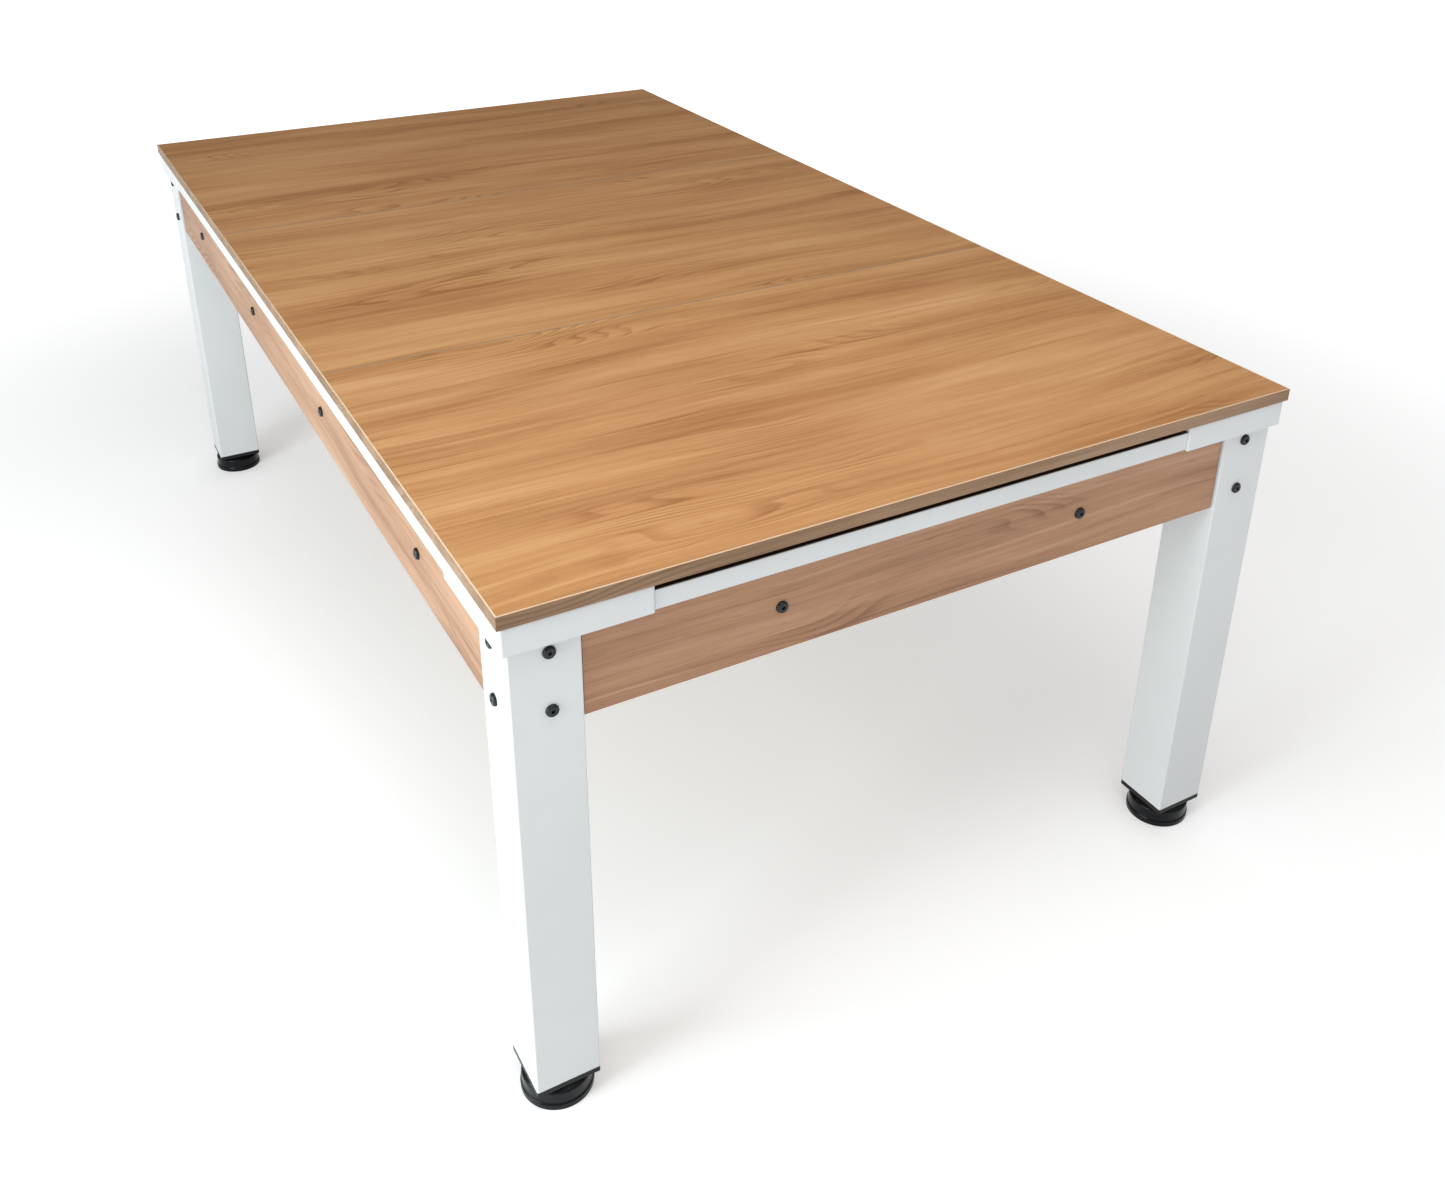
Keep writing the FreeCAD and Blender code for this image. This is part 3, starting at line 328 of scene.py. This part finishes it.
def plastic(name, colour, roughness, dust):
    """Moulded plastic: a faint skin texture, hairline scratches, dust where it faces up, and a painted
    highlight on its edges.
    """
    shader = Shader(name, roughness, specular=0.2)
    part = shader.split(shader.place)
    skin = shader.noise(shader.place, scale=1500.0)
    flow = shader.noise(shader.place, scale=22.0, detail=3.0)
    drawn = shader.vector(shader.math("MULTIPLY", part["X"], 14.0), part["Y"],
                          shader.math("MULTIPLY", part["Z"], 3.0))
    hair = shader.remap(shader.noise(drawn, scale=160.0, detail=1.0), low=0.70, high=0.76)
    edges = shader.soft_edges(0.4 * MM)
    toned = shader.shade(colour, shader.spread(flow, 0.8, 1.2))
    # painted highlight: edges mixed toward a paler grey
    toned = shader.mix(shader.math("MULTIPLY", edges, 0.3), toned, PLASTIC_EDGE_HIGHLIGHT)
    patches = shader.remap(flow, low=0.35, high=0.7, to_low=0.3)
    settled = shader.math("MULTIPLY", shader.math("MULTIPLY", shader.upward(), patches), dust)
    toned = shader.mix(settled, toned, PLASTIC_DUST)
    shader.set("Base Color", toned)
    worn = shader.math("ADD", shader.math("MULTIPLY", hair, 0.15), settled)
    uneven = shader.spread(flow, roughness - 0.03, roughness + 0.05)
    shader.set("Roughness", shader.math("ADD", worn, uneven))
    shader.bump(skin, 0.02 * MM, strength=0.4)
    return shader.material


def black_oxide(name):
    """Blackened steel with a slight grain and bare metal showing on the rubbed edges."""
    shader = Shader(name, roughness=0.34, metallic=0.85)
    grain = shader.noise(shader.place, scale=1800.0, detail=3.0)
    edges = shader.soft_edges(0.5 * MM)
    toned = shader.shade(BLACK_OXIDE, shader.spread(grain, 0.7, 1.3))
    shader.set("Base Color", shader.mix(shader.math("MULTIPLY", edges, 0.3), toned, BARE_STEEL))
    shader.set("Roughness", shader.spread(grain, 0.26, 0.42))
    shader.bump(grain, 0.02 * MM, strength=0.4)
    return shader.material


def zinc_shader(name):
    """Zinc-plated steel with drawn lines and faint stains."""
    shader = Shader(name, roughness=0.32, metallic=1.0)
    part = shader.split(shader.place)
    drawn = shader.vector(part["X"], part["Y"], shader.math("MULTIPLY", part["Z"], 0.08))
    lines = shader.noise(drawn, scale=1400.0)
    stain = shader.noise(shader.place, scale=60.0, detail=3.0)
    toned = shader.mix(shader.remap(stain, low=0.5, high=0.7, to_high=0.35), ZINC, ZINC_STAIN)
    shader.set("Base Color", toned)
    shader.set("Roughness", shader.spread(lines, 0.24, 0.44))
    shader.soft_edges(0.3 * MM)
    shader.bump(lines, 0.02 * MM, strength=0.4)
    return shader


def thread(name, axis_x, axis_y):
    """Zinc-plated thread: a helical groove round an upright axis."""
    shader = zinc_shader(name)
    part = shader.split(shader.place)
    turn = shader.math("ARCTAN2", shader.math("SUBTRACT", part["Y"], axis_y),
                       shader.math("SUBTRACT", part["X"], axis_x))
    climb = shader.math("DIVIDE", part["Z"], THREAD_PITCH)
    phase = shader.math("ADD", climb, shader.math("DIVIDE", turn, math.tau))
    shader.bump(shader.math("PINGPONG", phase, 0.5), 0.6 * THREAD_PITCH)
    return shader.material


def rubber(name):
    """Matte black rubber with a fine speckle and a dusty bloom."""
    shader = Shader(name, roughness=0.8, specular=0.3)
    speck = shader.noise(shader.place, scale=900.0, detail=3.0)
    bloom = shader.noise(shader.place, scale=40.0, detail=3.0)
    dusty = shader.remap(bloom, low=0.4, high=0.7, to_high=0.3)
    shader.set("Base Color", shader.mix(dusty, RUBBER, RUBBER_BLOOM))
    shader.set("Roughness", shader.spread(speck, 0.7, 0.95))
    shader.soft_edges(0.5 * MM)
    shader.bump(speck, 0.06 * MM, strength=0.5)
    return shader.material


def fibreboard(name):
    """Raw board: short pressed fibres in several browns, slightly fuzzy."""
    shader = Shader(name, roughness=0.85, specular=0.2)
    part = shader.split(shader.place)
    flat = shader.vector(part["X"], part["Y"], shader.math("MULTIPLY", part["Z"], 6.0))
    chips = shader.noise(flat, scale=420.0, detail=4.0, roughness=0.7)
    cloud = shader.noise(shader.place, scale=9.0, detail=3.0)
    tone = shader.math("ADD", shader.math("MULTIPLY", chips, 0.7), shader.math("MULTIPLY", cloud, 0.3))
    dark, middle, light = BOARD_TONES
    shader.set("Base Color", shader.ramp(tone, [(0.3, dark), (0.5, middle), (0.7, light)]))
    shader.bump(chips, 0.15 * MM, strength=0.6)
    return shader.material


def billiard_cloth(name):
    """Woollen cloth: a fine twill under a short nap, with soft patches where the nap lies differently."""
    shader = Shader(name, roughness=0.9, specular=0.15)
    part = shader.split(shader.place)

    def ridges(across, per_metre):
        return shader.math("PINGPONG", shader.math("MULTIPLY", across, per_metre), 0.5)

    lean = shader.math("ADD", part["X"], shader.math("ADD", part["Y"], part["Z"]))
    slant = shader.math("SUBTRACT", part["X"], part["Y"])
    twill = ridges(lean, per_metre=1100.0)
    cross = ridges(slant, per_metre=1500.0)
    fuzz = shader.noise(shader.place, scale=1300.0, detail=3.0, roughness=0.7)
    tuft = shader.noise(shader.place, scale=180.0, detail=3.0, roughness=0.6)
    nap = shader.noise(shader.place, scale=4.0, detail=3.0)
    tone = shader.math("MULTIPLY", twill, 0.25)
    for value, weight in ((cross, 0.15), (fuzz, 0.5), (tuft, 0.25)):
        tone = shader.math("ADD", tone, shader.math("MULTIPLY", value, weight))
    woven = shader.remap(tone, low=0.2, high=0.9, to_low=0.7, to_high=1.25)
    patches = shader.spread(nap, 0.9, 1.08)
    shader.set("Base Color", shader.shade(CLOTH_GREEN, shader.math("MULTIPLY", woven, patches)))
    shader.set("Sheen Weight", 0.35)
    shader.set("Sheen Roughness", 0.5)
    shader.bump(tone, 0.25 * MM, strength=0.7)
    return shader.material


def floor_surface(name):
    """Plain pale studio floor with a barely uneven tone; it glows as painted light, dimmer near the table
    and brighter away from it.
    """
    shader = Shader(name, roughness=0.7, specular=0.2)
    shader.set("Emission Color", PLAIN_WHITE)
    away = shader.add("ShaderNodeVectorMath", {0: shader.place}, operation="LENGTH").outputs["Value"]
    # painted light: the floor's own glow, weaker near the table and stronger away from it
    glow = shader.remap(away, low=1.3, high=4.0, to_low=0.32, to_high=0.85, smooth=True)
    shader.set("Emission Strength", glow)
    cloud = shader.noise(shader.place, scale=0.8)
    shader.set("Base Color", shader.shade(FLOOR_WHITE, shader.spread(cloud, 0.98, 1.0)))
    return shader.material


SLOT_MATERIALS = {
    "black_rubber": rubber("black_rubber"),
    "white_casting": paint("white_casting", WHITE_PAINT, roughness=0.36, texture=0.05 * MM),
    # the rails' tops get painted shade from the boards above
    "white_rail": paint("white_rail", WHITE_PAINT, roughness=0.42, texture=0.03 * MM, top=RAIL_TOP_PAINTED_SHADE),
    "white_powder_coat": paint("white_powder_coat", WHITE_PAINT, roughness=0.38, texture=0.05 * MM),
    "black_powder_coat": paint("black_powder_coat", BLACK_PAINT, roughness=0.5, texture=0.08 * MM),
    "cushion_cloth": billiard_cloth("cushion_cloth"),
    "table_cloth": billiard_cloth("table_cloth"),
    "bed_board": fibreboard("bed_board"),
    "basket_plastic": plastic("basket_plastic", BLACK_PLASTIC, roughness=0.5, dust=0.12),
    "liner_plastic": plastic("liner_plastic", BLACK_PLASTIC, roughness=0.42, dust=0.08),
    "plug_plastic": plastic("plug_plastic", BLACK_PLASTIC, roughness=0.4, dust=0.03),
    "foot_plastic": plastic("foot_plastic", GLOSS_BLACK, roughness=0.2, dust=0.03),
    "black_bolt": black_oxide("black_bolt"),
    "screw_steel": zinc_shader("screw_steel").material,
}


def material_for(node):
    """The material of one CAD node, from its slot, and from its place where grain or thread needs it.

    The shift starts each board at its own stretch of grain.
    """
    slot = SLOT_OF[node]
    low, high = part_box(node)
    size = high - low
    if slot == "oak_laminate":
        return wood(f"{slot}_{node}", "X", "Y", "Z", WOOD_TONES, shift=3 * (low.x + high.x))
    if slot == "oak_apron":
        along, faces = ("X", "Y") if size.x > size.y else ("Y", "X")
        return wood(f"{slot}_{node}", "Z", along, faces, APRON_TONES, shift=low.x + 2 * low.y)
    if slot == "oak_edge_band":
        return wood(f"{slot}_{node}", "Z", "Y", "X", BAND_TONES, painted_highlight=BAND_RIM_HIGHLIGHT)
    if slot == "stud_steel":
        middle = (low + high) / 2
        return thread(f"{slot}_{node}", middle.x, middle.y)
    return SLOT_MATERIALS[slot]


def dress_nodes():
    """Gives every CAD node its material."""
    for name, node in NODES.items():
        made = material_for(name)
        node.data.materials.clear()
        node.data.materials.append(made)


# ---------------------------------------------------------------- bed cloth

BED_LOW, BED_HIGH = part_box("bed_cloth")
CLOTH_LEG_GAP = 1.0 * MM
ROLL_SHARE = 0.45  # of the cloth's thickness
HOLE_STEPS = 72


def add_mesh(name, vertices, faces):
    """A smooth-shaded mesh object."""
    mesh = bpy.data.meshes.new(name)
    mesh.from_pydata(vertices, [], faces)
    mesh.update()
    made = bpy.data.objects.new(name, mesh)
    bpy.context.scene.collection.objects.link(made)
    for polygon in mesh.polygons:
        polygon.use_smooth = True
    return made


def closed_line(curve, points):
    """Adds one closed outline of straight runs to a flat curve."""
    line = curve.splines.new("POLY")
    line.points.add(len(points) - 1)
    for point, (x, y) in zip(line.points, points):
        point.co = (x, y, 0.0, 1.0)
    line.use_cyclic_u = True


def pocket_circles():
    """Centre and radius of the hole over each basket."""
    circles = []
    for node in NODES:
        if node.startswith("pocket_basket_"):
            low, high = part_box(node)
            middle = (low + high) / 2
            circles.append((middle.x, middle.y, (high.x - low.x) / 2))
    return circles


def make_bed_cloth():
    """The cloth stretched over the bed: flat, with rolled edges round its rim and the pocket holes."""
    thickness = BED_HIGH.z - BED_LOW.z
    roll = ROLL_SHARE * thickness
    flat = bpy.data.curves.new("bed_cloth_outline", "CURVE")
    flat.dimensions = "2D"
    flat.fill_mode = "BOTH"
    flat.extrude = thickness / 2 - roll
    flat.bevel_depth = roll
    flat.bevel_resolution = 2
    flat.offset = -roll
    leg_low, leg_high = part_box("leg_front_right")
    notch_x, notch_y = leg_low.x - CLOTH_LEG_GAP, -leg_high.y - CLOTH_LEG_GAP
    reach_x, reach_y = BED_HIGH.x, BED_HIGH.y
    closed_line(flat, [
        (-notch_x, -reach_y), (notch_x, -reach_y), (notch_x, -notch_y), (reach_x, -notch_y),
        (reach_x, notch_y), (notch_x, notch_y), (notch_x, reach_y), (-notch_x, reach_y),
        (-notch_x, notch_y), (-reach_x, notch_y), (-reach_x, -notch_y), (-notch_x, -notch_y),
    ])
    area = 4 * (reach_x * reach_y - (reach_x - notch_x) * (reach_y - notch_y))
    turns = [math.tau * step / HOLE_STEPS for step in range(HOLE_STEPS)]
    for x, y, radius in pocket_circles():
        closed_line(flat, [(x + radius * math.cos(turn), y + radius * math.sin(turn)) for turn in turns])
        area -= math.pi * radius ** 2
    outline = bpy.data.objects.new("bed_cloth_outline", flat)
    bpy.context.scene.collection.objects.link(outline)
    bpy.context.view_layer.update()
    mesh = bpy.data.meshes.new_from_object(outline)
    mesh.transform(Matrix.Translation((0, 0, (BED_LOW.z + BED_HIGH.z) / 2)))
    bpy.data.objects.remove(outline)
    cloth = bpy.data.objects.new("bed_cloth_sheet", mesh)
    bpy.context.scene.collection.objects.link(cloth)
    mesh.materials.clear()
    mesh.materials.append(SLOT_MATERIALS["table_cloth"])
    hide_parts("bed_cloth")
    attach(cloth, "table")


# ---------------------------------------------------------------- cushions

# the section: where two of its points lie, as (distance from the rail, fall from the top)
SHOULDER = (2.6 * MM, 0.9 * MM)
CROWN_START = (4.5 * MM, 0.15 * MM)
NOSE_DROP = 6 * MM
NOSE_ROUND = 3.2 * MM
TUCK_DEPTH = 2.0 * MM
TUCK_WIDTH = 1.5 * MM
CROWN = 0.4 * MM
FOOT_WIDTH = 9 * MM
UNDERSIDE_HOLLOW = 1.2 * MM

# along the rail: slow swells of the padding, in radians per metre, and the cut ends
PUFF = 0.15 * MM
PUFF_WAVE = 37.0
STATIONS = 48
END_GAP = 0.3 * MM
END_ROUND = 0.5 * MM
NOSE_BAND = 4 * MM


def cushion_section(top, bottom, reach):
    """Points round a cushion's section, as (distance from the rail, height).

    They run up the back, over the tuck where the cloth goes into the rail, along the crowned top,
    round the nose and back under the cushion to its foot.
    """
    nose_height = top - NOSE_DROP
    nose_middle = reach - NOSE_ROUND
    points = [(0.0, bottom), (0.0, top - TUCK_DEPTH), (TUCK_WIDTH, top - TUCK_DEPTH)]
    points += [(distance, top - fall) for distance, fall in (SHOULDER, CROWN_START)]
    crown_distance, crown_fall = CROWN_START
    for share in (step / 6 for step in range(1, 6)):
        height = between(top, nose_height + NOSE_ROUND, share)
        height += CROWN * math.sin(math.pi * share) - crown_fall * (1 - share)
        points.append((between(crown_distance, nose_middle, share), height))
    for degrees in range(90, -61, -25):
        turn = math.radians(degrees)
        points.append((nose_middle + NOSE_ROUND * math.cos(turn), nose_height + NOSE_ROUND * math.sin(turn)))
    for share in (step / 5 for step in range(1, 5)):
        distance = between(reach - 1.5 * NOSE_ROUND, FOOT_WIDTH, share)
        hollow = UNDERSIDE_HOLLOW * math.sin(math.pi * share)
        points.append((distance, between(nose_height - NOSE_ROUND, bottom, share) + hollow))
    points.append((FOOT_WIDTH, bottom))
    return points


def make_cushion(node):
    """One cloth-covered rubber cushion along its rail, cut back at both pocket mouths."""
    low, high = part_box(node)
    size = high - low
    along, side = (0, 1) if size.x > size.y else (1, 0)
    inward = -1.0 if low[side] + high[side] > 0 else 1.0
    back_line = high[side] if inward < 0 else low[side]
    nose_line = back_line + inward * size[side]
    on_nose = [vertex.co[along] for vertex in NODES[node].data.vertices
               if abs(vertex.co[side] - nose_line) < NOSE_BAND]
    section = cushion_section(high.z, low.z, size[side])
    vertices = []
    for share in (station / STATIONS for station in range(STATIONS + 1)):
        for distance, height in section:
            across = distance / size[side]
            first = between(low[along], min(on_nose), across) + END_GAP
            last = between(high[along], max(on_nose), across) - END_GAP
            run = between(first, last, share)
            puff = PUFF * math.sin(PUFF_WAVE * run) * math.sin(math.pi * across)
            place = Vector((0.0, 0.0, height + puff))
            place[along] = run
            place[side] = back_line + inward * distance
            vertices.append(place)
    ring = len(section)
    faces = []
    for start in range(0, STATIONS * ring, ring):
        for index in range(ring):
            following = (index + 1) % ring
            faces.append((start + index, start + following, start + following + ring, start + index + ring))
    faces.append(tuple(range(ring)))
    faces.append(tuple(reversed(range(STATIONS * ring, (STATIONS + 1) * ring))))
    if (along == 0) == (inward > 0):
        faces = [tuple(reversed(face)) for face in faces]
    cushion = add_mesh(f"{node}_padded", vertices, faces)
    rounding = cushion.modifiers.new("rounding", "BEVEL")
    rounding.width = END_ROUND
    rounding.segments = 3
    rounding.limit_method = "ANGLE"
    rounding.angle_limit = math.radians(40)
    cushion.data.materials.append(SLOT_MATERIALS["cushion_cloth"])
    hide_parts(node)
    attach(cushion, "table")


# ---------------------------------------------------------------- stage, lights and camera

FLOOR_REACH = 60.0
CAMERA_PLACE = (2.2754, -1.0074, 1.6502)
CAMERA_HEADING = math.radians(150.16)
CAMERA_TILT = math.radians(-25.33)
CAMERA_ROLL = math.radians(0.676)
CAMERA_LENS = 34.885
CAMERA_SHIFT = (-0.0106, -0.1352)


def make_floor():
    """A wide pale floor under the feet."""
    corners = [(-1, -1), (1, -1), (1, 1), (-1, 1)]
    floor = add_mesh("studio_floor", [(x * FLOOR_REACH, y * FLOOR_REACH, 0) for x, y in corners],
                     [(0, 1, 2, 3)])
    floor.data.materials.append(floor_surface("studio_floor"))


def make_room():
    """Pale surroundings, darker low down behind the far end, so that end of the top reflects little."""
    world = bpy.data.worlds.new("studio")
    world.use_nodes = True
    nodes, links = world.node_tree.nodes, world.node_tree.links
    direction = nodes.new("ShaderNodeTexCoord").outputs["Generated"]
    lean = nodes.new("ShaderNodeVectorMath")
    lean.operation = "DOT_PRODUCT"
    links.new(direction, lean.inputs[0])
    lean.inputs[1].default_value = (0.26, -0.15, 1.0)
    glow = nodes.new("ShaderNodeMapRange")
    glow.interpolation_type = "SMOOTHSTEP"
    limits = {"From Min": -0.05, "From Max": 0.50, "To Min": 0.08, "To Max": 0.50}
    for limit, value in limits.items():
        glow.inputs[limit].default_value = value
    links.new(lean.outputs["Value"], glow.inputs["Value"])
    links.new(glow.outputs[0], nodes["Background"].inputs["Strength"])
    nodes["Background"].inputs["Color"].default_value = PLAIN_WHITE
    bpy.context.scene.world = world


def make_light(name, place, target, size, power, colour):
    """A soft rectangular lamp turned to its target."""
    lamp = bpy.data.lights.new(name, "AREA")
    lamp.shape = "RECTANGLE"
    lamp.size, lamp.size_y = size
    lamp.energy = power
    lamp.color = colour
    made = bpy.data.objects.new(name, lamp)
    made.location = place
    made.rotation_euler = (Vector(target) - Vector(place)).to_track_quat("-Z", "Y").to_euler()
    bpy.context.scene.collection.objects.link(made)


def make_lights():
    """A bright window along the front side and a softer lamp over the right end."""
    make_light("window_front", place=(0.95, -2.7, 1.3), target=(0.8, 0.0, 0.5),
               size=(1.6, 1.8), power=64.0, colour=(0.86, 0.98, 1.0))
    make_light("lamp_right", place=(1.25, -0.3, 2.5), target=(0.8, 0.0, 0.8),
               size=(1.6, 1.2), power=22.0, colour=(1.0, 0.98, 0.95))


def make_camera():
    """Stands off the near corner at eye height, looking down at the table."""
    lens = bpy.data.cameras.new("view_camera")
    lens.lens = CAMERA_LENS
    lens.sensor_width = 36.0
    lens.sensor_fit = "HORIZONTAL"
    lens.shift_x, lens.shift_y = CAMERA_SHIFT
    camera = bpy.data.objects.new("view_camera", lens)
    turned = Euler((math.pi / 2 + CAMERA_TILT, 0.0, CAMERA_HEADING - math.pi / 2)).to_matrix()
    turned = turned @ Matrix.Rotation(CAMERA_ROLL, 3, "Z")
    camera.location = CAMERA_PLACE
    camera.rotation_euler = turned.to_euler()
    bpy.context.scene.collection.objects.link(camera)
    bpy.context.scene.camera = camera
    bpy.context.scene.view_settings.view_transform = "Standard"


dress_nodes()
make_bed_cloth()
for cushion_node in [node for node in NODES if node.startswith("cushion_")]:
    make_cushion(cushion_node)
make_floor()
make_room()
make_lights()
make_camera()
